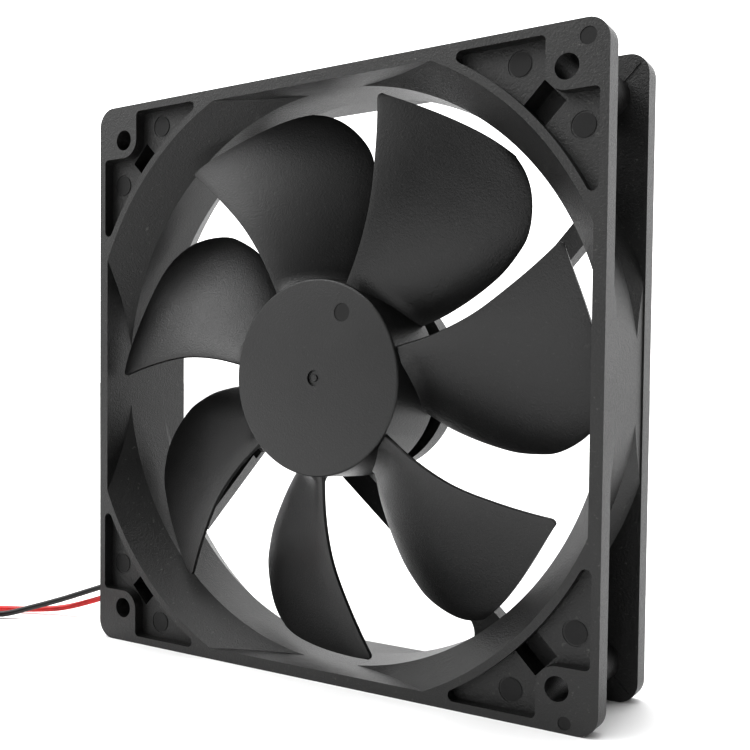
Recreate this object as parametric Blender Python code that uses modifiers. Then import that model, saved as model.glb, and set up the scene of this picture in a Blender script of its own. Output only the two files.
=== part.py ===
"""A 120 mm case fan, 25 mm deep, standing on its edge: frame, impeller, brushless motor and leads.

Metres, +Z up. The origin is the middle of the underside. The fan's axis runs along Y at half the
frame's height; the intake side with the hub's closed face looks along -Y. The impeller turns about
that axis. Lengths named below are millimetres; a "depth" is counted from the intake face backwards.
"""

import math

import bmesh
import bpy
from mathutils import Matrix, Vector

MM = 0.001

# Frame
SIZE = 120.0
THICK = 25.0
HALF = SIZE / 2
FLANGE = 4.0
CORNER_R = 4.0
HOLE_PITCH = 105.0
HOLE_R = 2.2
WALL = 2.0
THROAT_R = 58.2
FLARE_R = 63.3
FLARE_DEPTH = 7.35
THROAT_FLATS = (57.6, 58.3)
SIDE_FLAT = 59.7
ROUND = 96

# Corner pockets in both flanges, and the blind square sockets in the front ones' floors
POCKET_DEPTH = 2.3
POCKET_R = 64.8
RIM = 1.6
POST_WALL = 48.6
SQUARE = 5.7
SQUARE_AT = 67.3
SQUARE_WALL = 0.8
SQUARE_BACK = 7.2
BOSS_R = 3.9
BOSS_LENGTH = 6.5

# Motor base and the four struts: direction in degrees, near and far side from the axis
BASE_R = 19.8
BASE_INNER_R = 18.2
BASE_FRONT = 20.9
BASE_REAR = 24.9
BASE_FLOOR = 22.4
BASE_BACK = 24.2
LABEL_R = 17.6
STRUTS = {"ne": (47.5, 13.5, 17.9), "se": (-40.3, 15.9, 21.0), "nw": (138.5, 13.5, 17.9)}
LEAD_STRUT = (228.4, 12.1, 17.3)
STRUT_FRONT = 21.15
STRUT_REAR = 24.8
CHANNEL_WALL = 0.9
CHANNEL_WEB = 1.05
WINDOW_END = 32.5
NOTCH = (60.5, 68.5)

# Bearing and shaft
TUBE_R = 4.7
TUBE_BORE = 4.1
TUBE = (6.0, 23.0)
TUBE_HOLE_R = 5.0
SLEEVE_R = 3.8
SLEEVE_BORE = 1.8
SLEEVE = (7.3, 20.4)
SHAFT_R = 1.5
SHAFT = (2.6, 22.0)

# Stator
STATOR_R = 14.6
STATOR_BORE = 5.0
STATOR = (6.4, 11.4)
YOKE_RING_R = 7.4
TOOTH_HALF = 1.6
SHOE_INNER_R = 13.0
SHOE_HALF_ANGLE = 37.0
COIL_R = (8.4, 12.1)
COIL_HALF = (4.2, 4.8)
BOARD_R = 16.0
BOARD_HOLE_R = 5.2
BOARD = (17.6, 18.8)

# Rotor
HUB_R = 19.6
HUB_BACK_R = 20.6
HUB_FRONT = 0.8
HUB_BACK = 14.5
HUB_WALL = 1.3
HUB_BOSS_R = 4.6
HUB_BOSS_BACK = 5.4
YOKE_R = 17.9
YOKE_INNER_R = 17.2
YOKE = (2.5, 14.0)
MAGNET_R = (15.2, 16.9)
MAGNET = (3.6, 13.6)
CLIP = (20.9, 21.4)

# Blades: seven, leading edge forward, swept so that the hub end trails the tip
BLADES = 7
BLADE_ANGLE = 78.6
BLADE_TIP_R = 56.2
BLADE_THICK = 1.5
BLADE_ACROSS = 8
BLADE_ALONG = 9
TIP_CORNER_R = 11.0
TIP_DIP = 0.7

# Leads, their coils and the connector
LEAD_R = 0.7
LEAD_STEP = 2.6
COIL_CENTRE = (-96.2, -28.4)
COIL_MID_R = 7.9
COIL_HALF_BUNDLE = 2.8
COIL_Z = (0.9, 4.8)
TIE_WIDTH = 2.5
TIE_THICK = 0.5
TAILS = {"black_lead_tail": (-35.63, -87.6), "red_lead_tail": (-38.17, -90.7)}
CONNECTOR_X = (-85.0, -72.0)
CONNECTOR_Y = (-39.5, -34.3)
CONNECTOR_TOP = 4.8
TERMINAL_HALF = 0.7

GAP = 0.3


def y_of(depth):
    """The place along Y, in millimetres, of a depth behind the intake face."""
    return depth - THICK / 2


def place(x, depth, z):
    """A point in metres from millimetres across, deep and above the fan's axis."""
    return Vector((x, y_of(depth), z + HALF)) * MM


def clear_scene():
    for old in list(bpy.data.objects):
        bpy.data.objects.remove(old, do_unlink=True)


def collection(name):
    made = bpy.data.collections.get(name) or bpy.data.collections.new(name)
    if name not in bpy.context.scene.collection.children:
        bpy.context.scene.collection.children.link(made)
    return made


def material(name, colour, roughness, metallic=0.0):
    made = bpy.data.materials.new(name)
    made.use_nodes = True
    shader = made.node_tree.nodes["Principled BSDF"]
    shader.inputs["Base Color"].default_value = (*colour, 1.0)
    shader.inputs["Roughness"].default_value = roughness
    shader.inputs["Metallic"].default_value = metallic
    return made


clear_scene()
PARTS = collection("case_fan")
CUTTERS = collection("cutters")
PLASTIC = material("black_plastic", (0.035, 0.035, 0.034), 0.5)
STEEL = material("steel", (0.55, 0.55, 0.56), 0.3, 1.0)
LAMINATION = material("silicon_steel", (0.35, 0.35, 0.36), 0.4, 1.0)
FERRITE = material("bonded_ferrite", (0.05, 0.045, 0.045), 0.6)
BRASS = material("brass", (0.75, 0.55, 0.25), 0.3, 1.0)
BRONZE = material("sintered_bronze", (0.5, 0.33, 0.18), 0.5, 1.0)
COPPER = material("enamelled_copper", (0.6, 0.22, 0.07), 0.3, 1.0)
NYLON = material("white_nylon", (0.75, 0.74, 0.7), 0.45)
BOARD_GREEN = material("solder_mask", (0.03, 0.16, 0.06), 0.35)
CHIP = material("chip_epoxy", (0.02, 0.02, 0.02), 0.5)
CERAMIC = material("capacitor_ceramic", (0.45, 0.3, 0.18), 0.4)
LABEL = material("label_film", (0.6, 0.6, 0.6), 0.35)
RUBBER = material("oil_seal_rubber", (0.02, 0.02, 0.02), 0.7)
RED = material("red_pvc", (0.6, 0.01, 0.01), 0.35)
BLACK = material("black_pvc", (0.01, 0.01, 0.01), 0.35)


def finish(made, name, finish_material, home=PARTS):
    """Names an object, gives it its material and moves it to its collection."""
    made.name = name
    made.data.name = name
    made.data.materials.clear()
    made.data.materials.append(finish_material)
    for other in list(made.users_collection):
        other.objects.unlink(made)
    home.objects.link(made)
    if made.type == "MESH":
        made.data.shade_smooth()
        made.data.set_sharp_from_angle(angle=math.radians(35))
    return made


def cutter(made, name):
    """Marks an object as a cutter or a shape to be joined: not a part of its own."""
    finish(made, name, PLASTIC, CUTTERS)
    made.hide_render = True
    made.display_type = "WIRE"
    return made


def boolean(target, tool, operation):
    step = target.modifiers.new(f"{operation.lower()}_{tool.name}", "BOOLEAN")
    step.operation = operation
    step.object = tool
    step.solver = "EXACT"


def from_bmesh(shape, name):
    mesh = bpy.data.meshes.new(name)
    shape.to_mesh(mesh)
    shape.free()
    made = bpy.data.objects.new(name, mesh)
    bpy.context.scene.collection.objects.link(made)
    return made


def box(low, high):
    """A block between two corners given in millimetres across, deep and above the axis."""
    shape = bmesh.new()
    bmesh.ops.create_cube(shape, size=1.0)
    a, b = place(*low), place(*high)
    bmesh.ops.scale(shape, vec=b - a, verts=shape.verts)
    bmesh.ops.translate(shape, vec=(a + b) / 2, verts=shape.verts)
    return from_bmesh(shape, "box")


def cylinder(radius, front, back, x=0.0, z=0.0, segments=48, back_radius=None):
    """A cylinder or cone along the fan's axis between two depths."""
    shape = bmesh.new()
    bmesh.ops.create_cone(
        shape,
        cap_ends=True,
        segments=segments,
        radius1=(radius if back_radius is None else back_radius) * MM,
        radius2=radius * MM,
        depth=(back - front) * MM,
    )
    bmesh.ops.rotate(shape, matrix=Matrix.Rotation(math.radians(90), 3, "X"), verts=shape.verts)
    bmesh.ops.translate(shape, vec=place(x, (front + back) / 2, z), verts=shape.verts)
    return from_bmesh(shape, "cylinder")


def turned(profile, segments=64, x=0.0, z=0.0):
    """A ring or disc turned about an axis along Y from a profile of (radius, depth).

    A profile that starts on the axis ends on it too; any other closes on itself.
    """
    shape = bmesh.new()
    corners = [shape.verts.new(place(x + r, depth, z)) for r, depth in profile]
    pairs = list(zip(corners, corners[1:]))
    if profile[0][0] > 0.0:
        pairs.append((corners[-1], corners[0]))
    edges = [shape.edges.new(pair) for pair in pairs]
    bmesh.ops.spin(
        shape,
        geom=corners + edges,
        cent=place(x, 0.0, z),
        axis=(0.0, 1.0, 0.0),
        angle=math.tau,
        steps=segments,
        use_merge=True,
    )
    bmesh.ops.remove_doubles(shape, verts=shape.verts, dist=0.00001)
    bmesh.ops.dissolve_degenerate(shape, edges=shape.edges, dist=0.000001)
    bmesh.ops.recalc_face_normals(shape, faces=shape.faces)
    return from_bmesh(shape, "turned")


def tube(outer, inner, front, back, segments=48, x=0.0, z=0.0):
    return turned([(inner, front), (outer, front), (outer, back), (inner, back)], segments, x, z)


def outline(points, front, back):
    """A flat plate from an outline in millimetres, as a filled curve with thickness."""
    curve = bpy.data.curves.new("outline", "CURVE")
    curve.dimensions = "2D"
    curve.fill_mode = "BOTH"
    curve.extrude = (back - front) / 2 * MM
    spline = curve.splines.new("POLY")
    spline.points.add(len(points) - 1)
    for point, (x, z) in zip(spline.points, points):
        point.co = (x * MM, z * MM, 0.0, 1.0)
    spline.use_cyclic_u = True
    made = bpy.data.objects.new("outline", curve)
    made.matrix_world = Matrix.Translation(place(0.0, (front + back) / 2, 0.0)) @ Matrix.Rotation(
        math.radians(90), 4, "X"
    )
    bpy.context.scene.collection.objects.link(made)
    bpy.context.view_layer.update()
    mesh = bpy.data.meshes.new_from_object(made.evaluated_get(bpy.context.evaluated_depsgraph_get()))
    shape = bmesh.new()
    shape.from_mesh(mesh)
    bmesh.ops.remove_doubles(shape, verts=shape.verts, dist=0.000005)
    bmesh.ops.transform(shape, matrix=made.matrix_world, verts=shape.verts)
    bmesh.ops.recalc_face_normals(shape, faces=shape.faces)
    bpy.data.objects.remove(made)
    return from_bmesh(shape, "plate")


def arc(cx, cz, radius, start, end, steps):
    """Points on an arc, from one angle in degrees to another."""
    return [
        (
            cx + radius * math.cos(math.radians(start + (end - start) * i / steps)),
            cz + radius * math.sin(math.radians(start + (end - start) * i / steps)),
        )
        for i in range(steps + 1)
    ]


def turn_about_axis(made, degrees):
    """Turns a mesh about the fan's axis, counter-clockwise seen from the intake side."""
    centre = place(0.0, THICK / 2, 0.0)
    turn = Matrix.Rotation(math.radians(-degrees), 4, "Y")
    made.data.transform(Matrix.Translation(centre) @ turn @ Matrix.Translation(-centre))
    return made


# ---- frame ----------------------------------------------------------------------------------


def rounded_square(half, radius, steps=6):
    inner = half - radius
    return (
        arc(inner, inner, radius, 0, 90, steps)
        + arc(-inner, inner, radius, 90, 180, steps)
        + arc(-inner, -inner, radius, 180, 270, steps)
        + arc(inner, -inner, radius, 270, 360, steps)
    )


def pocket_points():
    """The outline of one corner pocket: an arc beside the ring, two rims, and the screw post's wall."""
    rim = HALF - RIM
    tip = 0.8
    start = math.degrees(math.acos((rim - tip) / POCKET_R))
    inside = arc(0.0, 0.0, POCKET_R, 90 - start, start, 13)
    hole = HOLE_PITCH / 2
    bend = hole - POST_WALL
    post = arc(hole, hole, bend, 270, 180, 6)
    return (
        inside
        + [(rim, inside[-1][1] + tip), (rim, POST_WALL)]
        + post
        + [(POST_WALL, rim), (inside[0][0] + tip, rim)]
    )


def straight_sides(front, rear):
    """A square bar, given by its half widths at both ends, that flattens the middle of each side."""
    corner = math.sqrt(2)
    made = cylinder(corner * front, -2.0, THICK + 2.0, segments=4, back_radius=corner * rear)
    return turn_about_axis(made, 45)


def throat_cutter():
    """The air path: a cone, a cylinder and a cone, flattened at the four sides."""
    slope = (FLARE_R - THROAT_R) / FLARE_DEPTH
    beyond = 1.0
    wide = FLARE_R + slope * beyond
    air = turned(
        [
            (0.0, -beyond),
            (wide, -beyond),
            (THROAT_R, FLARE_DEPTH),
            (THROAT_R, THICK - FLARE_DEPTH),
            (wide, THICK + beyond),
            (0.0, THICK + beyond),
        ],
        ROUND,
    )
    cutter(air, "air_path")
    sides = cutter(straight_sides(*THROAT_FLATS), "throat_sides")
    boolean(air, sides, "INTERSECT")
    return air


def barrel():
    """The outer wall of the ring between the flanges, flush flat at the middle of each side."""
    slope = (FLARE_R - THROAT_R) / FLARE_DEPTH
    wall = THROAT_R + WALL
    wide = wall + slope * (FLARE_DEPTH - FLANGE / 2)
    ring = turned(
        [
            (0.0, FLANGE / 2),
            (wide, FLANGE / 2),
            (wall, FLARE_DEPTH),
            (wall, THICK - FLARE_DEPTH),
            (wide, THICK - FLANGE / 2),
            (0.0, THICK - FLANGE / 2),
        ],
        ROUND,
    )
    cutter(ring, "barrel")
    sides = cutter(straight_sides(SIDE_FLAT, SIDE_FLAT), "barrel_sides")
    boolean(ring, sides, "INTERSECT")
    return ring


def along(direction, offset, reach):
    """A point at a distance along a strut's direction and to its clockwise side."""
    a = math.radians(direction)
    return (
        reach * math.cos(a) + offset * math.sin(a),
        reach * math.sin(a) - offset * math.cos(a),
    )


def strip(direction, near, far, start, end, front, back):
    """A straight bar from the motor base outwards."""
    corners = [
        along(direction, near, start),
        along(direction, near, end),
        along(direction, far, end),
        along(direction, far, start),
    ]
    return outline(corners, front, back)


def strut_end(near, far):
    """How far a strut runs, so that it ends inside the ring's wall."""
    return math.sqrt((FLARE_R - 0.6) ** 2 - ((near + far) / 2) ** 2)


def square_bar(side, front, back, sx, sz):
    """A square bar in one corner, its sides along and across the corner's diagonal."""
    at = SQUARE_AT / math.sqrt(2)
    return cylinder(side / math.sqrt(2), front, back, sx * at, sz * at, 4)


def frame():
    housing = finish(outline(rounded_square(HALF, CORNER_R), 0.0, FLANGE), "frame_housing", PLASTIC)
    rear = outline(rounded_square(HALF, CORNER_R), THICK - FLANGE, THICK)
    boolean(housing, cutter(rear, "rear_flange"), "UNION")
    boolean(housing, barrel(), "UNION")
    hole = HOLE_PITCH / 2
    for i, (sx, sz) in enumerate(((1, 1), (-1, 1), (-1, -1), (1, -1))):
        for front, back, name in (
            (FLANGE - 1.0, FLANGE + BOSS_LENGTH, "front"),
            (THICK - FLANGE - BOSS_LENGTH, THICK - FLANGE + 1.0, "rear"),
        ):
            boss = cylinder(BOSS_R, front, back, sx * hole, sz * hole, 24)
            boolean(housing, cutter(boss, f"{name}_boss_{i}"), "UNION")
        outside = (SQUARE + 2 * SQUARE_WALL, FLANGE - 1.2, SQUARE_BACK + SQUARE_WALL)
        boolean(housing, cutter(square_bar(*outside, sx, sz), f"socket_{i}"), "UNION")
    boolean(housing, throat_cutter(), "DIFFERENCE")
    for i, (sx, sz) in enumerate(((1, 1), (-1, 1), (-1, -1), (1, -1))):
        for front, back, name in (
            (-1.0, POCKET_DEPTH, "front"),
            (THICK - POCKET_DEPTH, THICK + 1.0, "rear"),
        ):
            points = [(sx * x, sz * z) for x, z in pocket_points()]
            pocket = cutter(outline(points, front, back), f"{name}_pocket_{i}")
            boolean(housing, pocket, "DIFFERENCE")
        bore = cylinder(HOLE_R, -1.0, THICK + 1.0, sx * hole, sz * hole, 24)
        boolean(housing, cutter(bore, f"screw_hole_{i}"), "DIFFERENCE")
        inside = (SQUARE, POCKET_DEPTH - GAP, SQUARE_BACK)
        boolean(housing, cutter(square_bar(*inside, sx, sz), f"square_{i}"), "DIFFERENCE")
    motor_base(housing)
    return housing


def motor_base(housing):
    """The shallow cup behind the hub, its four struts and the channel that holds the leads."""
    base = cylinder(BASE_R, BASE_FRONT, BASE_REAR, segments=64)
    boolean(housing, cutter(base, "base_disc"), "UNION")
    for name, (direction, near, far) in STRUTS.items():
        bar = strip(direction, near, far, 2.0, strut_end(near, far), STRUT_FRONT, STRUT_REAR)
        boolean(housing, cutter(bar, f"strut_{name}"), "UNION")
    direction, near, far = LEAD_STRUT
    reach = strut_end(near, far)
    bar = strip(direction, near, far, 2.0, reach, STRUT_FRONT, STRUT_REAR)
    boolean(housing, cutter(bar, "strut_lead"), "UNION")
    well = cylinder(BASE_INNER_R, BASE_FRONT - 1, BASE_FLOOR, segments=64)
    boolean(housing, cutter(well, "base_well"), "DIFFERENCE")
    recess = cylinder(LABEL_R + GAP, BASE_BACK, THICK + 1, segments=64)
    boolean(housing, cutter(recess, "label_recess"), "DIFFERENCE")
    bore = cylinder(TUBE_HOLE_R, BASE_FLOOR - 1, BASE_BACK + 1, segments=32)
    boolean(housing, cutter(bore, "tube_hole"), "DIFFERENCE")
    web = (STRUT_FRONT, STRUT_FRONT + CHANNEL_WEB)
    hooked = (web[0] - 0.25, web[1] - 0.2)
    hook = strip(direction, near - 1.3, near + 1.5, WINDOW_END + 0.2, WINDOW_END + 2.4, *hooked)
    boolean(housing, cutter(hook, "lead_hook"), "UNION")
    inside = (near + CHANNEL_WALL, far - CHANNEL_WALL)
    channel = strip(direction, *inside, 3.0, HALF * 1.1, web[1], THICK + 1)
    boolean(housing, cutter(channel, "lead_channel"), "DIFFERENCE")
    opened = (inside[0] + 0.15, inside[1] - 0.15)
    window = strip(direction, *opened, 20.6, WINDOW_END, BASE_FRONT - 1.0, web[1] + 1.0)
    boolean(housing, cutter(window, "lead_window"), "DIFFERENCE")
    notch = strip(direction, near - 0.3, inside[1] + 0.1, *NOTCH, THICK - FLANGE - 0.5, THICK - 1.2)
    boolean(housing, cutter(notch, "lead_notch"), "DIFFERENCE")


# ---- bearing, stator and board --------------------------------------------------------------


def bearing():
    finish(tube(TUBE_R, TUBE_BORE, *TUBE, segments=32), "bearing_tube", BRASS)
    finish(tube(SLEEVE_R, SLEEVE_BORE, *SLEEVE, segments=32), "sleeve_bearing", BRONZE)
    finish(tube(SLEEVE_R, SLEEVE_BORE, 6.3, 6.9, segments=32), "oil_seal_ring", RUBBER)
    finish(cylinder(SLEEVE_R, 22.3, 22.9, segments=32), "thrust_pad", NYLON)
    finish(cylinder(TUBE_R, 23.3, 24.0, segments=32), "bearing_cap", PLASTIC)
    finish(cylinder(LABEL_R, 24.5, 24.8, segments=64), "rear_label", LABEL)


def star(root, half, tooth):
    """The outline of a ring with four teeth: arcs of the ring between teeth given as (radius, angle)."""
    foot = math.degrees(math.asin(half / root))
    points = []
    for i in range(4):
        turn = 90.0 * i + 45.0
        for radius, angle in tooth:
            a = math.radians(turn + angle)
            points.append((radius * math.cos(a), radius * math.sin(a)))
        points += arc(0.0, 0.0, root, turn + foot, turn + 90.0 - foot, 6)
    return points


def stator_core():
    neck = math.degrees(math.asin(TOOTH_HALF / SHOE_INNER_R))
    tip = SHOE_HALF_ANGLE
    tooth = [(SHOE_INNER_R, -neck), (SHOE_INNER_R, -tip)]
    tooth += [(STATOR_R, -tip + 2 * tip * i / 10) for i in range(11)]
    tooth += [(SHOE_INNER_R, tip), (SHOE_INNER_R, neck)]
    core = finish(outline(star(YOKE_RING_R, TOOTH_HALF, tooth), *STATOR), "stator_core", LAMINATION)
    bore = cylinder(STATOR_BORE, STATOR[0] - 1, STATOR[1] + 1, segments=48)
    boolean(core, cutter(bore, "stator_bore"), "DIFFERENCE")
    return core


def coil(index):
    """One winding: a rounded block with the stator's arm through it."""
    low, high = STATOR
    near, far = COIL_R
    half_across, half_deep = COIL_HALF
    middle = (low + high) / 2
    block = box((near, middle - half_deep, -half_across), (far, middle + half_deep, half_across))
    finish(turn_about_axis(block, 90.0 * index + 45.0), f"winding_{index + 1}", COPPER)
    soften = block.modifiers.new("rounded", "BEVEL")
    soften.width = 1.0 * MM
    soften.segments = 2
    slot = box((near - 1, low - 1.0, -TOOTH_HALF - 1.0), (far + 1, high + 1.0, TOOTH_HALF + 1.0))
    boolean(block, cutter(turn_about_axis(slot, 90.0 * index + 45.0), f"winding_slot_{index}"), "DIFFERENCE")
    return block


def insulator(name, front, back):
    """A nylon end plate with an arm over each stator arm, inside the windings' slots."""
    half = TOOTH_HALF + 0.6
    end = math.degrees(math.asin(half / SHOE_INNER_R))
    arms = [(SHOE_INNER_R, -end), (SHOE_INNER_R, end)]
    plate = finish(outline(star(YOKE_RING_R, half, arms), front, back), name, NYLON)
    bore = cylinder(STATOR_BORE, front - 1, back + 1, segments=48)
    boolean(plate, cutter(bore, f"{name}_bore"), "DIFFERENCE")
    return plate


def circuit_board():
    """The round board behind the stator, its notch for the leads and the parts soldered on it."""
    front, back = BOARD
    board = finish(tube(BOARD_R, BOARD_HOLE_R, front, back, segments=48), "circuit_board", BOARD_GREEN)
    for i in range(3):
        angle = math.radians(90.0 * i)
        x, z = 9.8 * math.cos(angle), 9.8 * math.sin(angle)
        hole = cylinder(0.75, front - 1, back + 1, x, z, 12)
        boolean(board, cutter(hole, f"pin_hole_{i}"), "DIFFERENCE")
        finish(cylinder(0.4, 12.9, 19.6, x, z, 12), f"coil_pin_{i + 1}", BRASS)
    finish(box((12.4, front - GAP - 1.6, -2.0), (14.6, front - GAP, 2.0)), "hall_sensor", CHIP)
    finish(box((-5.6, back + GAP, -12.6), (0.4, back + GAP + 1.5, -8.4)), "driver_chip", CHIP)
    finish(box((7.6, back + GAP, -9.6), (9.4, back + GAP + 1.1, -6.4)), "capacitor", CERAMIC)
    finish(box((9.6, back + GAP, 5.0), (11.2, back + GAP + 0.8, 8.2)), "resistor", CHIP)
    finish(box((2.0, back + GAP, -13.2), (5.6, back + GAP + 1.2, -11.2)), "diode", CHIP)
    return board


# ---- rotor ----------------------------------------------------------------------------------


def blend(points, at):
    """A smooth curve through a few (place, value) pairs, read at one place."""
    for (x0, y0), (x1, y1) in zip(points, points[1:]):
        if at <= x1 or x1 == points[-1][0]:
            i = points.index((x0, y0))
            before = points[max(i - 1, 0)]
            after = points[min(i + 2, len(points) - 1)]
            slope0 = (y1 - before[1]) / (x1 - before[0])
            slope1 = (after[1] - y0) / (after[0] - x0)
            t = (at - x0) / (x1 - x0)
            span = x1 - x0
            return (
                y0 * (1 + 2 * t) * (1 - t) ** 2
                + slope0 * span * t * (1 - t) ** 2
                + y1 * t * t * (3 - 2 * t)
                + slope1 * span * t * t * (t - 1)
            )
    return points[-1][1]


# A blade's edges: for a radius, degrees behind the blade's reference line, and depth
LEADING = [(19.0, -8.9), (26.0, -9.7), (35.0, -8.4), (45.0, -5.0), (56.2, -1.3)]
TRAILING = [(19.0, -46.2), (26.0, -48.8), (38.0, -47.7), (46.0, -44.5), (51.0, -41.9), (56.2, -39.9)]
FRONT_DEPTH = [(19.0, 1.9), (38.0, 2.3), (56.2, 3.9)]
BACK_DEPTH = [(19.0, 13.6), (38.0, 15.7), (56.2, 16.2)]


def blade_point(radius, share):
    """A point of the blade's middle surface: share 0 is the leading edge and 1 the trailing edge."""
    lead, trail = blend(LEADING, radius), blend(TRAILING, radius)
    start = BLADE_TIP_R - TIP_CORNER_R
    over = max(0.0, min(radius - start, TIP_CORNER_R * 0.985))
    cut = TIP_CORNER_R - math.sqrt(TIP_CORNER_R**2 - over**2)
    end = trail + math.degrees(cut / radius)
    angle = lead + (end - lead) * share
    full = (angle - lead) / (trail - lead)
    front, back = blend(FRONT_DEPTH, radius), blend(BACK_DEPTH, radius)
    depth = front + (back - front) * (0.82 * full + 0.18 * full * full)
    a = math.radians(BLADE_ANGLE + angle)
    return place(radius * math.cos(a), depth, radius * math.sin(a))


def tip_radius(share):
    """The blade's tip is flatter than an arc, most of all near its leading corner."""
    return BLADE_TIP_R - TIP_DIP * 6.75 * share * (1 - share) ** 2


def blade_sheet(name, across=BLADE_ACROSS, along_it=BLADE_ALONG):
    """One blade as a grid laid on its middle surface and given a thickness."""
    shape = bmesh.new()
    bmesh.ops.create_grid(shape, x_segments=across, y_segments=along_it, size=0.5)
    for vert in shape.verts:
        share, reach = vert.co.x + 0.5, vert.co.y + 0.5
        radius = HUB_R - 1.0 + (tip_radius(share) - HUB_R + 1.0) * (1 - (1 - reach) ** 1.4)
        vert.co = blade_point(radius, share)
    bmesh.ops.recalc_face_normals(shape, faces=shape.faces)
    made = from_bmesh(shape, name)
    shell = made.modifiers.new("thickness", "SOLIDIFY")
    shell.thickness = BLADE_THICK * MM
    shell.offset = 0.0
    return made


def impeller():
    """The hub's cup and its seven blades, one moulding."""
    skirt = [
        (0.0, HUB_FRONT),
        (HUB_R - 0.4, HUB_FRONT),
        (HUB_R, HUB_FRONT + 0.4),
        (HUB_BACK_R, HUB_BACK),
        (HUB_BACK_R - HUB_WALL, HUB_BACK),
        (HUB_R - HUB_WALL, HUB_FRONT + HUB_WALL),
        (HUB_BOSS_R, HUB_FRONT + HUB_WALL),
        (HUB_BOSS_R, HUB_BOSS_BACK),
        (3.4, HUB_BOSS_BACK),
        (3.4, HUB_FRONT + HUB_WALL),
        (0.0, HUB_FRONT + HUB_WALL),
    ]
    hub = finish(turned(skirt, 70), "impeller", PLASTIC)
    keep_out = cutter(cylinder(HUB_R - 0.7, -2.0, HUB_BACK + 3, segments=70), "hub_core")
    for i in range(BLADES):
        sheet = turn_about_axis(blade_sheet(f"blade_{i}"), -360.0 / BLADES * i)
        cutter(sheet, f"blade_{i}")
        boolean(sheet, keep_out, "DIFFERENCE")
        boolean(hub, sheet, "UNION")
    return hub


def rotor():
    impeller()
    yoke = [
        (7.0, YOKE[0]),
        (YOKE_R, YOKE[0]),
        (YOKE_R, YOKE[1]),
        (YOKE_INNER_R, YOKE[1]),
        (YOKE_INNER_R, YOKE[0] + 0.7),
        (7.0, YOKE[0] + 0.7),
    ]
    finish(turned(yoke, 64), "rotor_yoke", STEEL)
    finish(tube(MAGNET_R[1], MAGNET_R[0], *MAGNET, segments=64), "rotor_magnet", FERRITE)
    finish(tube(3.1, SHAFT_R + GAP, 2.4, 5.2, segments=32), "shaft_bush", BRASS)
    finish(cylinder(SHAFT_R, *SHAFT, segments=24), "shaft", STEEL)
    clip = finish(tube(2.8, SHAFT_R + 0.2, *CLIP, segments=24), "retaining_clip", NYLON)
    mouth = box((0.0, CLIP[0] - 1, -0.7), (4.0, CLIP[1] + 1, 0.7))
    boolean(clip, cutter(mouth, "clip_mouth"), "DIFFERENCE")


# ---- leads ----------------------------------------------------------------------------------

# Each lead's route from its solder pad, through the strut's channel, forward through the notch in
# the rear flange, out at the side and down to the floor: millimetres, Y from the frame's middle
BLACK_ROUTE = [
    (-13.0, 7.4, 68.6),
    (-14.4, 8.9, 67.0),
    (-16.0, 10.3, 65.3),
    (-18.2, 10.65, 62.8),
    (-22.8, 10.65, 57.6),
    (-34.1, 10.65, 44.8),
    (-44.7, 10.65, 32.9),
    (-50.4, 10.65, 26.5),
    (-52.9, 10.2, 23.8),
    (-54.9, 9.1, 21.5),
    (-57.0, 7.3, 18.4),
    (-58.6, 6.9, 15.6),
    (-61.2, 6.3, 12.7),
    (-66.5, 3.9, 10.0),
    (-74.2, -0.7, 7.2),
    (-81.4, -6.3, 4.4),
    (-87.1, -10.7, 2.5),
    (-91.9, -14.6, 1.1),
    (-95.0, -16.6, 1.05),
]
RED_ROUTE = [
    (-11.2, 7.4, 68.4),
    (-12.8, 8.9, 66.6),
    (-14.6, 10.3, 64.6),
    (-17.1, 10.65, 61.8),
    (-21.7, 10.65, 56.6),
    (-33.0, 10.65, 43.8),
    (-43.6, 10.65, 31.9),
    (-49.4, 10.65, 25.4),
    (-51.8, 10.2, 22.7),
    (-53.4, 9.1, 20.6),
    (-55.4, 7.2, 16.9),
    (-57.3, 6.4, 13.4),
    (-60.6, 6.0, 10.0),
    (-66.5, 3.2, 7.4),
    (-74.2, -0.7, 4.4),
    (-83.0, -4.4, 1.8),
    (-91.0, -7.8, 1.05),
    (-98.3, -10.6, 0.8),
    (-103.8, -14.3, 0.85),
    (-107.0, -19.0, 1.0),
    (-107.8, -23.7, 1.3),
]


def smooth(points, step):
    """Points about a step apart on a smooth curve through the given ones (centripetal spline)."""
    knots = [Vector(p) for p in points]
    knots = [knots[0] * 2 - knots[1]] + knots + [knots[-1] * 2 - knots[-2]]
    fine = []
    for a, b, c, d in zip(knots, knots[1:], knots[2:], knots[3:]):
        t0 = 0.0
        t1 = t0 + (b - a).length ** 0.5
        t2 = t1 + (c - b).length ** 0.5
        t3 = t2 + (d - c).length ** 0.5
        parts = max(2, round((c - b).length / (step / 6)))
        for i in range(parts):
            t = t1 + (t2 - t1) * i / parts
            a1 = a.lerp(b, (t - t0) / (t1 - t0))
            a2 = b.lerp(c, (t - t1) / (t2 - t1))
            a3 = c.lerp(d, (t - t2) / (t3 - t2))
            b1 = a1.lerp(a2, (t - t0) / (t2 - t0))
            b2 = a2.lerp(a3, (t - t1) / (t3 - t1))
            fine.append(b1.lerp(b2, (t - t1) / (t2 - t1)))
    fine.append(knots[-2])
    kept = [fine[0]]
    for point in fine[1:-1]:
        if (point - kept[-1]).length >= step:
            kept.append(point)
    if (fine[-1] - kept[-1]).length < step / 2:
        kept.pop()
    return kept + [fine[-1]]


def lead(name, points, finish_material):
    """A lead as a tube on a poly line read from the smooth curve through its route."""
    curve = bpy.data.curves.new(name, "CURVE")
    curve.dimensions = "3D"
    curve.bevel_depth = LEAD_R * MM
    curve.bevel_resolution = 2
    curve.use_fill_caps = True
    spline = curve.splines.new("POLY")
    spline.points.add(len(points) - 1)
    for point, co in zip(spline.points, points):
        point.co = (*(Vector(co) * MM), 1.0)
    made = bpy.data.objects.new(name, curve)
    return finish(made, name, finish_material)


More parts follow.
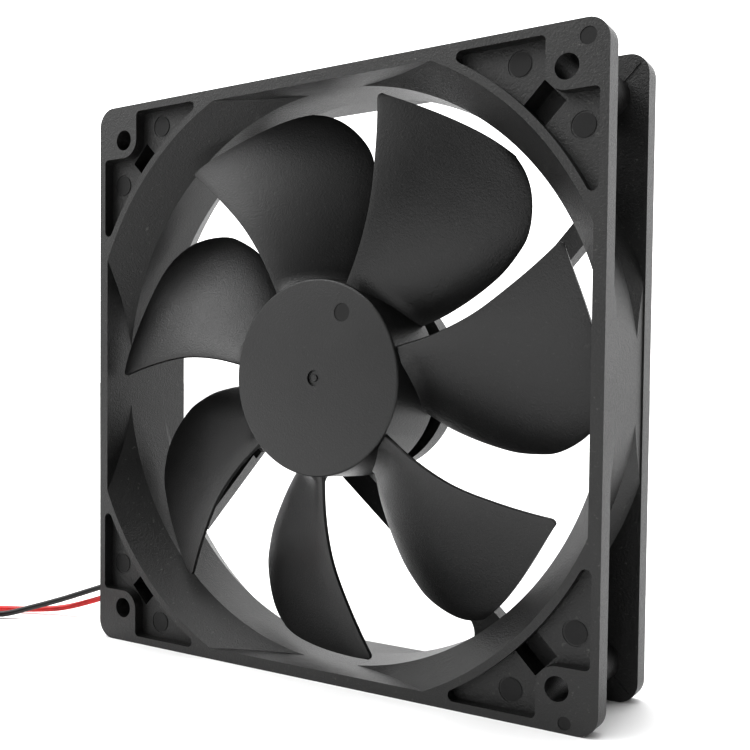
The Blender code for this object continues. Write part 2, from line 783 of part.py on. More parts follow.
def block(low, high):
    """A block between two corners given in millimetres from the origin on the floor."""
    shape = bmesh.new()
    bmesh.ops.create_cube(shape, size=1.0)
    a, b = Vector(low) * MM, Vector(high) * MM
    bmesh.ops.scale(shape, vec=b - a, verts=shape.verts)
    bmesh.ops.translate(shape, vec=(a + b) / 2, verts=shape.verts)
    return from_bmesh(shape, "block")


def coiled_leads():
    """The two leads wound together into one neat ring lying on the floor, as one plain solid."""
    cx, cy = COIL_CENTRE
    low, high = COIL_Z
    near, far = COIL_MID_R - COIL_HALF_BUNDLE, COIL_MID_R + COIL_HALF_BUNDLE
    shape = bmesh.new()
    profile = [(near, low), (far, low), (far, high), (near, high)]
    corners = [shape.verts.new((r * MM, 0.0, z * MM)) for r, z in profile]
    edges = [shape.edges.new(pair) for pair in zip(corners, corners[1:] + corners[:1])]
    bmesh.ops.spin(
        shape,
        geom=corners + edges,
        cent=(0.0, 0.0, 0.0),
        axis=(0.0, 0.0, 1.0),
        angle=math.tau,
        steps=32,
        use_merge=True,
    )
    bmesh.ops.remove_doubles(shape, verts=shape.verts, dist=0.00001)
    bmesh.ops.recalc_face_normals(shape, faces=shape.faces)
    bmesh.ops.translate(shape, vec=Vector((cx, cy, 0.0)) * MM, verts=shape.verts)
    finish(from_bmesh(shape, "coil"), "lead_coil", BLACK)
    space = 0.4
    left, right = cx - far - space, cx - near + space
    half = TIE_WIDTH / 2
    tie = block(
        (left - TIE_THICK, cy - half, 0.0),
        (right + TIE_THICK, cy + half, high + space + TIE_THICK),
    )
    finish(tie, "coil_tie", BLACK)
    hole = block((left, cy - half - 1, TIE_THICK), (right, cy + half + 1, high + space))
    boolean(tie, cutter(hole, "tie_hole"), "DIFFERENCE")


def connector():
    """The two-way crimp housing, its terminals and the short tails of the leads that enter it."""
    start, end = CONNECTOR_X
    housing = block((start, CONNECTOR_Y[0], 0.0), (end, CONNECTOR_Y[1], CONNECTOR_TOP))
    finish(housing, "connector_housing", BLACK)
    middle = CONNECTOR_TOP / 2
    for name, (across, first) in TAILS.items():
        finish_material = RED if name.startswith("red") else BLACK
        steps = 3
        last = start - GAP
        points = [(first + (last - first) * i / steps, across, middle) for i in range(steps + 1)]
        lead(name, points, finish_material)
        wide = TERMINAL_HALF + GAP
        slot = block((start - 1, across - wide, middle - wide), (end + 1, across + wide, middle + wide))
        boolean(housing, cutter(slot, f"{name}_slot"), "DIFFERENCE")
        terminal = block(
            (start + 1.5, across - TERMINAL_HALF, middle - TERMINAL_HALF),
            (end - 1.0, across + TERMINAL_HALF, middle + TERMINAL_HALF),
        )
        finish(terminal, name.replace("lead_tail", "terminal"), BRASS)


frame()
bearing()
stator_core()
for winding in range(4):
    coil(winding)
insulator("front_insulator", 5.6, 6.1)
insulator("rear_insulator", 11.7, 12.2)
circuit_board()
rotor()
lead("black_lead", smooth(BLACK_ROUTE, LEAD_STEP), BLACK)
lead("red_lead", smooth(RED_ROUTE, LEAD_STEP), RED)
coiled_leads()
connector()
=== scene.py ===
"""A 120 mm case fan standing on one edge, with the two leads of its motor wound up beside it.

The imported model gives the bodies, the joint and the pieces inside the motor. This file moulds the frame
and the impeller in fine detail, lays the leads, and gives every piece its finish. Lengths named below are
millimetres; a "depth" is counted backwards from the intake face, and x and z from the impeller's axis.
"""

import math

import bmesh
import bpy
from mathutils import Matrix, Vector


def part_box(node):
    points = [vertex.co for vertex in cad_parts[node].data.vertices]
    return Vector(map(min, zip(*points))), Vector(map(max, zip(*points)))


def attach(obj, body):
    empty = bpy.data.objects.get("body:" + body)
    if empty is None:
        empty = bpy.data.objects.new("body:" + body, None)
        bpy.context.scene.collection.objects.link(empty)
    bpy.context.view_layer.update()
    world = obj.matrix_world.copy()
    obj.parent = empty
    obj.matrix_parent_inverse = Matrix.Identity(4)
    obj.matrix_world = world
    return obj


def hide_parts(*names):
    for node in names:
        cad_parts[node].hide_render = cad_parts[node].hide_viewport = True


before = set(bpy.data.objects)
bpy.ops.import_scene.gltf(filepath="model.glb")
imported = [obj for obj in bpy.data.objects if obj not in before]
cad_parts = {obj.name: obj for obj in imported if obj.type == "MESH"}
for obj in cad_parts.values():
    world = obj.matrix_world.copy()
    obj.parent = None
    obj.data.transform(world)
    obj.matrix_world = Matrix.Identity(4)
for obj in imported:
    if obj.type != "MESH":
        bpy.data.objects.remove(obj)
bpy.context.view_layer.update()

# One millimetre, how close two corners are to be one, and how far a cutter runs past a face
MM = 0.001
WELD = 0.000002
PAST = 1.0

# The frame's outside, from the model
LOW, HIGH = (Vector(corner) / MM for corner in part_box("frame_housing"))
SIZE = HIGH.x - LOW.x
THICK = HIGH.y - LOW.y
HALF = SIZE / 2

# Flanges, ring and throat
FLANGE = 4.0
CORNER_R = 4.0
HOLE = 105.0 / 2
HOLE_R = 2.2
WALL = 2.0
THROAT_R = 58.2
FLARE_R = 63.3
FLARE_DEPTH = 7.35
THROAT_FLATS = (57.6, 58.3)
SIDE_FLAT = 59.7
ROUND = 240
EDGE = 0.25

# Corner pockets, screw posts, square sockets and the marks of the mould's pins
CORNERS = ((1, 1), (-1, 1), (-1, -1), (1, -1))
POCKET_DEPTH = 2.3
POCKET_R = 64.8
RIM = 1.6
POST_WALL = 48.6
SQUARE = 5.7
SQUARE_AT = 67.3
SQUARE_WALL = 0.8
SQUARE_BACK = 7.2
POCKET_TIP_R = 1.1
POST_CORNER_R = 0.9
BOSS_R = 3.9
BOSS_LENGTH = 6.5
EJECTOR_R = 2.25
EJECTORS = ((43.0, 54.9), (54.9, 43.0))
EJECTOR_RING = 0.17
EJECTOR_RING_DEEP = 0.24
POST_MARKS = ((56.2, 57.0, 1.5), (54.0, -58.2, 1.2))
POST_MARK_DEEP = 0.12
FLOW_LINE = (77.4, 82.4)
FLOW_LINE_HALF = 0.16

# Motor base and struts: direction in degrees, near and far side from the axis
BASE_R = 19.8
BASE_INNER_R = 18.2
BASE_FRONT, BASE_REAR = 20.9, 24.9
BASE_FLOOR, BASE_BACK = 22.4, 24.2
LABEL_R = 17.6
TUBE_HOLE_R = 5.0
STRUTS = ((47.5, 13.5, 17.9), (-40.3, 15.9, 21.0), (138.5, 13.5, 17.9))
LEAD_STRUT = (228.4, 12.1, 17.3)
STRUT_FRONT, STRUT_REAR = 21.15, 24.8
CHANNEL_WALL = 0.9
CHANNEL_WEB = 1.05
WINDOW = (20.6, 32.5)
HOOK_LENGTH = 2.2
NOTCH = (60.5, 68.5)
GUSSET_R = 5.0
GUSSET_REACH = 49.5
GUSSET_DEEP = 9.0

# Impeller
HUB_R = 19.6
HUB_BACK_R = 20.6
HUB_FRONT, HUB_BACK = 0.8, 14.5
HUB_WALL = 1.3
HUB_MARK = (6.6, 12.8)
HUB_MARK_R = 1.8
HUB_BOSS_R = 4.6
HUB_BOSS_BACK = 5.4
BLADES = 7
BLADE_ANGLE = 78.6
BLADE_TIP_R = 56.2
BLADE_THICK = 1.5
EDGE_TAPER = 0.2
THINNING = 0.55
TIP_CORNER_R = 11.0
TIP_DIP = 0.7
LEAD_CORNER_R = 1.2
CAMBER = 0.18
BLADE_GRID = (26, 34)
ROOT_SINK = 0.6
ROOT_REACH = 1.6
ROOT_FILLET = 0.5
DIMPLE = ((0.0, -0.5), (1.6, -0.5), (1.55, 1.25), (0.7, 1.25), (0.6, 1.0), (0.0, 0.95))

# A blade's edges: for a radius, degrees from the blade's reference line, and depth
LEADING = ((19.0, -8.9), (26.0, -9.7), (35.0, -8.4), (45.0, -5.0), (56.2, -1.3))
TRAILING = ((19.0, -46.2), (26.0, -48.8), (38.0, -47.7), (46.0, -44.5), (51.0, -41.9), (56.2, -39.9))
FRONT_DEPTH = ((19.0, 1.9), (38.0, 2.3), (56.2, 3.9))
BACK_DEPTH = ((19.0, 13.6), (38.0, 15.7), (56.2, 16.2))

# Leads: routes in metres as the model lays them, then the coil's turns and the connector
LEAD_R = 0.7
BLACK_ROUTE = [
    (-0.0130, 0.0074, 0.0686),
    (-0.0144, 0.0089, 0.0670),
    (-0.0160, 0.0103, 0.0653),
    (-0.0182, 0.01065, 0.0628),
    (-0.0228, 0.01065, 0.0576),
    (-0.0341, 0.01065, 0.0448),
    (-0.0447, 0.01065, 0.0329),
    (-0.0504, 0.01065, 0.0265),
    (-0.0529, 0.0102, 0.0238),
    (-0.0549, 0.0091, 0.0215),
    (-0.0570, 0.0073, 0.0184),
    (-0.0586, 0.0069, 0.0156),
    (-0.0612, 0.0063, 0.0127),
    (-0.0665, 0.0039, 0.0100),
    (-0.0742, -0.0007, 0.0072),
    (-0.0814, -0.0063, 0.0044),
    (-0.0871, -0.0107, 0.0025),
    (-0.0919, -0.0146, 0.0011),
    (-0.0950, -0.0166, 0.00105),
]
RED_ROUTE = [
    (-0.0112, 0.0074, 0.0684),
    (-0.0128, 0.0089, 0.0666),
    (-0.0146, 0.0103, 0.0646),
    (-0.0171, 0.01065, 0.0618),
    (-0.0217, 0.01065, 0.0566),
    (-0.0330, 0.01065, 0.0438),
    (-0.0436, 0.01065, 0.0319),
    (-0.0494, 0.01065, 0.0254),
    (-0.0518, 0.0102, 0.0227),
    (-0.0534, 0.0091, 0.0206),
    (-0.0554, 0.0072, 0.0169),
    (-0.0573, 0.0064, 0.0134),
    (-0.0606, 0.0060, 0.0100),
    (-0.0665, 0.0032, 0.0074),
    (-0.0742, -0.0007, 0.0044),
    (-0.0830, -0.0044, 0.0018),
    (-0.0910, -0.0078, 0.00105),
    (-0.0983, -0.0106, 0.0008),
    (-0.1038, -0.0143, 0.00085),
    (-0.1070, -0.0190, 0.0010),
    (-0.1078, -0.0237, 0.0013),
]
COIL_CENTRE = Vector((-96.2, -28.4))
BLACK_SLOTS = ((7.92, 1.62), (6.5, 1.62), (5.79, 2.85), (6.5, 4.08), (7.92, 4.08))
RED_SLOTS = ((9.34, 1.62), (7.21, 2.85), (8.63, 2.85), (10.05, 2.85), (9.34, 4.08))
BLACK_START, RED_START = 120, 165
COIL_END = 4 * 360 + 270
COIL_STEP = 15

# How bright the room is behind the fan, to its left and above it, and in front of it
BACK_WALL = 2.1
LEFT_WALL = 1.75
DIM_ROOM = 0.03

# Camera: place in metres, then turn to the right, height and roll in degrees
CAMERA_AT = (0.114385, -0.165387, 0.060025)
CAMERA_TURN = (31.177, 1.921, 0.659)
CAMERA_LENS = 46.32
CAMERA_SHIFT = (-0.0411, 0.0485)


# ---- small tools ----------------------------------------------------------------------------


def place(x, depth, z):
    """A point in metres from millimetres across, deep and above the impeller's axis."""
    return Vector((x, depth - THICK / 2, z + HALF)) * MM


def link(made):
    bpy.context.scene.collection.objects.link(made)
    return made


def from_bmesh(shape, name):
    mesh = bpy.data.meshes.new(name)
    shape.to_mesh(mesh)
    shape.free()
    return link(bpy.data.objects.new(name, mesh))


def block(x, y, z):
    """A block between two places along each axis, in millimetres of the world."""
    low, high = (Vector(corner) * MM for corner in zip(x, y, z))
    shape = bmesh.new()
    bmesh.ops.create_cube(shape, size=1.0)
    bmesh.ops.scale(shape, vec=high - low, verts=shape.verts)
    bmesh.ops.translate(shape, vec=(low + high) / 2, verts=shape.verts)
    return from_bmesh(shape, "block")


def disc(radius, front, back, x=0.0, z=0.0, segments=64):
    """A cylinder along the impeller's axis between two depths."""
    shape = bmesh.new()
    bmesh.ops.create_cone(
        shape,
        cap_ends=True,
        segments=segments,
        radius1=radius * MM,
        radius2=radius * MM,
        depth=(back - front) * MM,
    )
    bmesh.ops.rotate(shape, matrix=Matrix.Rotation(math.radians(90), 3, "X"), verts=shape.verts)
    bmesh.ops.translate(shape, vec=place(x, (front + back) / 2, z), verts=shape.verts)
    return from_bmesh(shape, "disc")


def turned(profile, segments=128, x=0.0, z=0.0):
    """A ring or disc turned about an axis along Y from a profile of (radius, depth).

    A profile that starts on the axis ends on it too; any other closes on itself.
    """
    shape = bmesh.new()
    corners = [shape.verts.new(place(x + r, depth, z)) for r, depth in profile]
    pairs = list(zip(corners, corners[1:]))
    if profile[0][0] > 0.0:
        pairs.append((corners[-1], corners[0]))
    edges = [shape.edges.new(pair) for pair in pairs]
    bmesh.ops.spin(
        shape,
        geom=corners + edges,
        cent=place(x, 0.0, z),
        axis=(0.0, 1.0, 0.0),
        angle=math.tau,
        steps=segments,
        use_merge=True,
    )
    bmesh.ops.remove_doubles(shape, verts=shape.verts, dist=WELD)
    bmesh.ops.dissolve_degenerate(shape, edges=shape.edges, dist=WELD / 4)
    bmesh.ops.recalc_face_normals(shape, faces=shape.faces)
    return from_bmesh(shape, "turned")


def arc(cx, cz, radius, start, end, steps):
    """Points on an arc, from one angle in degrees to another."""
    angles = [math.radians(start + (end - start) * i / steps) for i in range(steps + 1)]
    return [(cx + radius * math.cos(a), cz + radius * math.sin(a)) for a in angles]


def plate(points, front, back):
    """A flat plate from an outline of (x, z), pushed through from one depth to another."""
    shape = bmesh.new()
    face = shape.faces.new([shape.verts.new(place(x, front, z)) for x, z in points])
    pushed = bmesh.ops.extrude_face_region(shape, geom=[face], use_keep_orig=True)
    moved = [item for item in pushed["geom"] if isinstance(item, bmesh.types.BMVert)]
    bmesh.ops.translate(shape, vec=(0.0, (back - front) * MM, 0.0), verts=moved)
    bmesh.ops.recalc_face_normals(shape, faces=shape.faces)
    return from_bmesh(shape, "plate")


def turn_about_axis(made, degrees):
    """Turns a mesh about the impeller's axis, counter-clockwise seen from the intake side."""
    centre = place(0.0, THICK / 2, 0.0)
    turn = Matrix.Rotation(math.radians(-degrees), 4, "Y")
    made.data.transform(Matrix.Translation(centre) @ turn @ Matrix.Translation(-centre))
    return made


def baked(made, name):
    """The object's shape with its modifiers applied, as a new plain object; the old one goes."""
    bpy.context.view_layer.update()
    evaluated = made.evaluated_get(bpy.context.evaluated_depsgraph_get())
    mesh = bpy.data.meshes.new_from_object(evaluated)
    bpy.data.objects.remove(made)
    return link(bpy.data.objects.new(name, mesh))


def carved(body, operation, tools, name="carved"):
    """The body with every tool joined to it or cut from it."""
    for tool in tools:
        step = body.modifiers.new(operation, "BOOLEAN")
        step.operation = operation
        step.object = tool
        step.solver = "MANIFOLD"
    result = baked(body, name)
    for tool in tools:
        bpy.data.objects.remove(tool)
    return result


def softened(made, width, angle=32.0, segments=2):
    """Rounds every edge sharper than an angle, as a mould's edges are, and keeps the flats flat."""
    shape = bmesh.new()
    shape.from_mesh(made.data)
    bmesh.ops.remove_doubles(shape, verts=shape.verts, dist=2 * WELD)
    bmesh.ops.dissolve_limit(
        shape,
        angle_limit=math.radians(0.4),
        verts=shape.verts,
        edges=shape.edges,
    )
    shape.to_mesh(made.data)
    shape.free()
    made.data.shade_smooth()
    rounded = made.modifiers.new("soft_edges", "BEVEL")
    rounded.width = width * MM
    rounded.segments = segments
    rounded.limit_method = "ANGLE"
    rounded.angle_limit = math.radians(angle)
    rounded.harden_normals = True
    return made


def piece(made, name, body, finish, slot, *nodes):
    """Names a finished piece, gives it its material and body, and hides the model's nodes it stands for.
    """
    made.name = name
    made.data.name = name
    made.data.materials.clear()
    made.data.materials.append(finish)
    if nodes:
        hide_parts(*nodes)
    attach(made, body)
    return made


# ---- finishes -------------------------------------------------------------------------------


def linear(code):
    """The linear colour of an sRGB hex code such as "1f2021"."""
    parts = [int(code[i : i + 2], 16) / 255 for i in (0, 2, 4)]
    return (*[c / 12.92 if c <= 0.04045 else ((c + 0.055) / 1.055) ** 2.4 for c in parts], 1.0)


def add(tree, kind, inputs=None, **settings):
    """Adds a node with its settings, and fills or links the inputs given by name or number."""
    made = tree.nodes.new(kind)
    for key, value in settings.items():
        setattr(made, key, value)
    for key, value in (inputs or {}).items():
        if isinstance(value, bpy.types.NodeSocket):
            tree.links.new(value, made.inputs[key])
        else:
            made.inputs[key].default_value = value
    return made


def start_material(name):
    """An empty material: its node tree, its shader and the Object coordinates."""
    made = bpy.data.materials.new(name)
    made.use_nodes = True
    tree = made.node_tree
    tree.nodes.clear()
    shader = add(tree, "ShaderNodeBsdfPrincipled")
    add(tree, "ShaderNodeOutputMaterial", {"Surface": shader.outputs["BSDF"]})
    place_on_piece = add(tree, "ShaderNodeTexCoord").outputs["Object"]
    return made, tree, shader, place_on_piece


def per_metre(size):
    """The scale of a pattern whose features are this many millimetres apart."""
    return 1.0 / (size * MM)


def ramp(tree, value, low, high, dark, light):
    """A value between two limits turned into a blend of two colours."""
    made = add(tree, "ShaderNodeValToRGB", {"Fac": value})
    made.color_ramp.elements[0].position = low
    made.color_ramp.elements[0].color = dark
    made.color_ramp.elements[1].position = high
    made.color_ramp.elements[1].color = light
    return made.outputs["Color"]


def spread(tree, value, low, high):
    """A value from 0 to 1 stretched between two others."""
    return add(
        tree, "ShaderNodeMapRange", {"Value": value, "To Min": low, "To Max": high}
    ).outputs["Result"]


def filled_pbt(name, dark, light, fleck_and_glint, rough, grain_depth, ior=1.55):
    """Glass-filled black PBT: satin, with a fine spark-eroded grain, faint flow clouds and pale flecks
    that paint the fibre ends and their glints of light; the real flecks are finer, and are drawn as
    coarse as they need to show."""
    made, tree, shader, at = start_material(name)
    grain = add(
        tree,
        "ShaderNodeTexNoise",
        {"Vector": at, "Scale": per_metre(0.4), "Detail": 4.0, "Roughness": 0.65},
    ).outputs["Fac"]
    clouds = add(
        tree,
        "ShaderNodeTexNoise",
        {"Vector": at, "Scale": per_metre(14.0), "Detail": 3.0, "Roughness": 0.55},
    ).outputs["Fac"]
    # Pale flecks in the colour: fibre ends, with painted glints of light off them
    fibre_glint_noise = add(
        tree,
        "ShaderNodeTexNoise",
        {"Vector": at, "Scale": per_metre(0.9), "Detail": 2.0, "Roughness": 0.8},
    ).outputs["Fac"]
    fibre_glint_mask = ramp(tree, fibre_glint_noise, 0.63, 0.82, linear("000000"), linear("ffffff"))
    tint = add(
        tree,
        "ShaderNodeMix",
        {
            "Factor": fibre_glint_mask,
            "A": ramp(tree, clouds, 0.3, 0.72, linear(dark), linear(light)),
            "B": linear(fleck_and_glint),
        },
        data_type="RGBA",
    )
    tree.links.new(tint.outputs["Result"], shader.inputs["Base Color"])
    mixed = add(
        tree,
        "ShaderNodeMath",
        {0: spread(tree, grain, -0.09, 0.09), 1: spread(tree, clouds, rough - 0.05, rough + 0.06)},
        operation="ADD",
    ).outputs["Value"]
    tree.links.new(mixed, shader.inputs["Roughness"])
    bump = add(
        tree,
        "ShaderNodeBump",
        {"Height": grain, "Strength": 1.0, "Distance": grain_depth * MM},
    )
    tree.links.new(bump.outputs["Normal"], shader.inputs["Normal"])
    shader.inputs["IOR"].default_value = ior
    return made


def pvc(name, dark, light):
    """Extruded PVC insulation: smooth and a little glossy, with faint drawing lines."""
    made, tree, shader, at = start_material(name)
    film = add(
        tree,
        "ShaderNodeTexNoise",
        {"Vector": at, "Scale": per_metre(2.5), "Detail": 2.0},
    ).outputs["Fac"]
    tree.links.new(
        ramp(tree, film, 0.35, 0.7, linear(dark), linear(light)), shader.inputs["Base Color"]
    )
    tree.links.new(spread(tree, film, 0.24, 0.4), shader.inputs["Roughness"])
    shader.inputs["IOR"].default_value = 1.53
    return made


def metal(name, dark, light, rough, grain):
    """Turned, stamped or sintered metal: its colour varies a little at the size of its grain."""
    made, tree, shader, at = start_material(name)
    flecks = add(
        tree,
        "ShaderNodeTexNoise",
        {"Vector": at, "Scale": per_metre(grain), "Detail": 3.0, "Roughness": 0.6},
    ).outputs["Fac"]
    tree.links.new(
        ramp(tree, flecks, 0.3, 0.7, linear(dark), linear(light)), shader.inputs["Base Color"]
    )
    tree.links.new(spread(tree, flecks, rough - 0.07, rough + 0.1), shader.inputs["Roughness"])
    shader.inputs["Metallic"].default_value = 1.0
    return made


def laminated_steel():
    """Silicon steel sheets 0.5 mm thick, stamped and stacked: dark lines between them."""
    made, tree, shader, at = start_material("silicon_steel_sheets")
    along = add(tree, "ShaderNodeSeparateXYZ", {"Vector": at}).outputs["Y"]
    sheets = add(
        tree, "ShaderNodeMath", {0: along, 1: per_metre(0.5)}, operation="MULTIPLY"
    ).outputs["Value"]
    part = add(tree, "ShaderNodeMath", {0: sheets}, operation="FRACT").outputs["Value"]
    tree.links.new(
        ramp(tree, part, 0.0, 0.18, linear("2b2c2e"), linear("8d9094")), shader.inputs["Base Color"]
    )
    bump = add(tree, "ShaderNodeBump", {"Height": part, "Strength": 0.5, "Distance": 0.05 * MM})
    tree.links.new(bump.outputs["Normal"], shader.inputs["Normal"])
    shader.inputs["Metallic"].default_value = 1.0
    shader.inputs["Roughness"].default_value = 0.42
    return made


def dull(name, dark, light, rough, grain, ior=1.5):
    """Moulded, pressed or printed stuff with no shine of its own: nylon, ferrite, epoxy, film."""
    made, tree, shader, at = start_material(name)
    mottle = add(
        tree,
        "ShaderNodeTexNoise",
        {"Vector": at, "Scale": per_metre(grain), "Detail": 4.0, "Roughness": 0.6},
    ).outputs["Fac"]
    tree.links.new(
        ramp(tree, mottle, 0.3, 0.7, linear(dark), linear(light)), shader.inputs["Base Color"]
    )
    tree.links.new(spread(tree, mottle, rough - 0.06, rough + 0.08), shader.inputs["Roughness"])
    bump = add(tree, "ShaderNodeBump", {"Height": mottle, "Strength": 0.6, "Distance": 0.03 * MM})
    tree.links.new(bump.outputs["Normal"], shader.inputs["Normal"])
    shader.inputs["IOR"].default_value = ior
    return made


# The third colour of each is its fleck: fibre ends, with painted glints of light off them
FRAME_PBT = filled_pbt("black_pbt_frame", "0c0c0c", "151514", "484845", 0.39, 0.14)
IMPELLER_PBT = filled_pbt("black_pbt_impeller", "0b0b0b", "131313", "2c2c2a", 0.36, 0.085)
PIN_MARKS = filled_pbt("black_pbt_pin_marks", "080808", "0f0f0f", "1c1c1b", 0.52, 0.02, 1.42)
CONNECTOR_NYLON = filled_pbt("black_nylon_connector", "121212", "1a1a1a", "262626", 0.42, 0.02)
RED_PVC = pvc("red_pvc_insulation", "b01010", "cc1712")
BLACK_PVC = pvc("black_pvc_insulation", "0d0d0d", "161616")
BRASS = metal("turned_brass", "a98545", "d0ab62", 0.28, 0.8)
BRONZE = metal("sintered_bronze", "6b4a2c", "96704a", 0.5, 0.25)
STEEL = metal("ground_steel", "8c8e91", "b4b6b8", 0.3, 0.6)
YOKE_STEEL = metal("zinc_plated_yoke", "8a8c8c", "a9aba8", 0.38, 1.6)
TINNED = metal("tinned_pins", "a8a9a6", "c9c9c4", 0.32, 0.4)
SHEETS = laminated_steel()
FERRITE = dull("bonded_ferrite", "1f1d1c", "2a2827", 0.62, 0.5)
NYLON = dull("white_nylon", "d8d5cb", "e6e3da", 0.42, 1.2, 1.53)
RUBBER = dull("nitrile_rubber", "121212", "1b1b1b", 0.7, 0.6, 1.52)
EPOXY = dull("chip_epoxy", "161616", "222222", 0.55, 0.2, 1.55)
CERAMIC = dull("capacitor_ceramic", "8a6a48", "a37f58", 0.4, 0.3, 1.6)
MASK = dull("green_solder_mask", "0f4a24", "176034", 0.3, 1.5, 1.5)
FILM = dull("blank_label_film", "6e7072", "7a7c7e", 0.36, 3.0, 1.5)
ENAMEL = dull("enamelled_copper", "8a3a16", "b4531f", 0.3, 0.3, 1.55)


# ---- moulded frame --------------------------------------------------------------------------


def rounded_square(half, radius, steps=10):
    inner = half - radius
    return (
        arc(inner, inner, radius, 0, 90, steps)
        + arc(-inner, inner, radius, 90, 180, steps)
        + arc(-inner, -inner, radius, 180, 270, steps)
        + arc(inner, -inner, radius, 270, 360, steps)
    )


def pocket_points():
    """One corner pocket: an arc beside the ring, two rims with round ends, and the post's wall."""
    rim = HALF - RIM
    tip = POCKET_TIP_R
    at = rim - tip
    across = math.sqrt((POCKET_R + tip) ** 2 - at**2)
    start = math.degrees(math.atan2(across, at))
    inside = arc(0.0, 0.0, POCKET_R, 90 - start, start, 32)
    end = arc(at, across, tip, start - 180, 0, 8)
    corner = arc(rim - POST_CORNER_R, POST_WALL - POST_CORNER_R, POST_CORNER_R, 0, 90, 5)
    post = arc(HOLE, HOLE, HOLE - POST_WALL, 270, 225, 8)
    half = end[1:] + corner + post
    return inside + half + [(z, x) for x, z in reversed(half[:-1])]


def four_sides(front, rear):
    """A square bar through the frame, given by its half widths in front and behind."""
    shape = bmesh.new()
    bmesh.ops.create_cone(
        shape,
        cap_ends=True,
        segments=4,
        radius1=math.sqrt(2) * rear * MM,
        radius2=math.sqrt(2) * front * MM,
        depth=(THICK + 4 * PAST) * MM,
    )
    upright = Matrix.Rotation(math.radians(90), 3, "X") @ Matrix.Rotation(math.radians(45), 3, "Z")
    bmesh.ops.rotate(shape, matrix=upright, verts=shape.verts)
    bmesh.ops.translate(shape, vec=place(0.0, THICK / 2, 0.0), verts=shape.verts)
    return from_bmesh(shape, "four_sides")


def air_path():
    """The air's way through: a cone, a cylinder and a cone, flattened at the four sides."""
    slope = (FLARE_R - THROAT_R) / FLARE_DEPTH
    wide = FLARE_R + slope * PAST
    profile = [
        (0.0, -PAST),
        (wide, -PAST),
        (THROAT_R, FLARE_DEPTH),
        (THROAT_R, THICK - FLARE_DEPTH),
        (wide, THICK + PAST),
        (0.0, THICK + PAST),
    ]
    return carved(turned(profile, ROUND), "INTERSECT", [four_sides(*THROAT_FLATS)])


def barrel():
    """The outer wall of the ring between the flanges, flat at the middle of each side."""
    slope = (FLARE_R - THROAT_R) / FLARE_DEPTH
    wall = THROAT_R + WALL
    wide = wall + slope * (FLARE_DEPTH - FLANGE / 2)
    profile = [
        (0.0, FLANGE / 2),
        (wide, FLANGE / 2),
        (wall, FLARE_DEPTH),
        (wall, THICK - FLARE_DEPTH),
        (wide, THICK - FLANGE / 2),
        (0.0, THICK - FLANGE / 2),
    ]
    return carved(turned(profile, ROUND), "INTERSECT", [four_sides(SIDE_FLAT, SIDE_FLAT)])


def along(direction, offset, reach):
    """A point at a distance along a strut's direction and to its clockwise side."""
    a = math.radians(direction)
    return (
        reach * math.cos(a) + offset * math.sin(a),
        reach * math.sin(a) - offset * math.cos(a),
    )


def strip(direction, near, far, start, end, front, back):
    """A straight bar from the motor base outwards."""
    corners = ((near, start), (near, end), (far, end), (far, start))
    return plate([along(direction, offset, reach) for offset, reach in corners], front, back)


def strut_end(near, far):
    """How far a strut runs, so that it ends inside the ring's wall."""
    return math.sqrt((FLARE_R - 0.6) ** 2 - ((near + far) / 2) ** 2)


def square_bar(side, front, back, sx, sz):
    """A square bar in one corner, its sides along and across the corner's diagonal."""
    at = SQUARE_AT / math.sqrt(2)
    return disc(side / math.sqrt(2), front, back, sx * at, sz * at, 4)


def posts():
    """The round screw posts behind both flanges, and the square sockets behind the front one."""
    front = (FLANGE - PAST, FLANGE + BOSS_LENGTH)
    rear = (THICK - FLANGE - BOSS_LENGTH, THICK - FLANGE + PAST)
    made = []
    for sx, sz in CORNERS:
        made += [disc(BOSS_R, *ends, sx * HOLE, sz * HOLE, 48) for ends in (front, rear)]
    outside = (SQUARE + 2 * SQUARE_WALL, FLANGE - 1.2, SQUARE_BACK + SQUARE_WALL)
    return made + [square_bar(*outside, sx, sz) for sx, sz in CORNERS]


def corner_cutters():
    """Pockets, screw holes, and the intake side's square sockets."""
    tools = []
    for sx, sz in CORNERS:
        points = [(sx * x, sz * z) for x, z in pocket_points()]
        tools.append(plate(points, -PAST, POCKET_DEPTH))
        tools.append(plate(points, THICK - POCKET_DEPTH, THICK + PAST))
        tools.append(disc(HOLE_R, -PAST, THICK + PAST, sx * HOLE, sz * HOLE, 48))
        tools.append(square_bar(SQUARE, POCKET_DEPTH - 0.3, SQUARE_BACK, sx, sz))
    return tools


def motor_base(housing):
    """The shallow cup behind the hub, its four struts and the channel that holds the leads."""
    joined = [disc(BASE_R, BASE_FRONT, BASE_REAR, segments=128), gusset()]
    for direction, near, far in (*STRUTS, LEAD_STRUT):
        ends = (2.0, strut_end(near, far), STRUT_FRONT, STRUT_REAR)
        joined.append(strip(direction, near, far, *ends))
    housing = carved(housing, "UNION", joined)
    direction, near, far = LEAD_STRUT
    web = (STRUT_FRONT, STRUT_FRONT + CHANNEL_WEB)
    inside = (near + CHANNEL_WALL, far - CHANNEL_WALL)
    opened = (inside[0] + 0.15, inside[1] - 0.15)
    hook_start = WINDOW[1] + 0.2
    hook = (hook_start, hook_start + HOOK_LENGTH, web[0] - 0.25, web[1] - 0.2)
    cuts = [
        disc(BASE_INNER_R, BASE_FRONT - PAST, BASE_FLOOR, segments=128),
        disc(LABEL_R + 0.3, BASE_BACK, THICK + PAST, segments=128),
        disc(TUBE_HOLE_R, BASE_FLOOR - PAST, BASE_BACK + PAST, segments=64),
        strip(direction, *inside, 3.0, HALF * 1.1, web[1], THICK + PAST),
        strip(direction, *opened, *WINDOW, BASE_FRONT - PAST, web[1] + PAST),
        strip(direction, near - 0.3, inside[1] + 0.1, *NOTCH, THICK - FLANGE - 0.5, THICK - 1.2),
    ]
    housing = carved(housing, "UNION", [strip(direction, near - 1.3, near + 1.5, *hook)])
    return carved(housing, "DIFFERENCE", cuts)


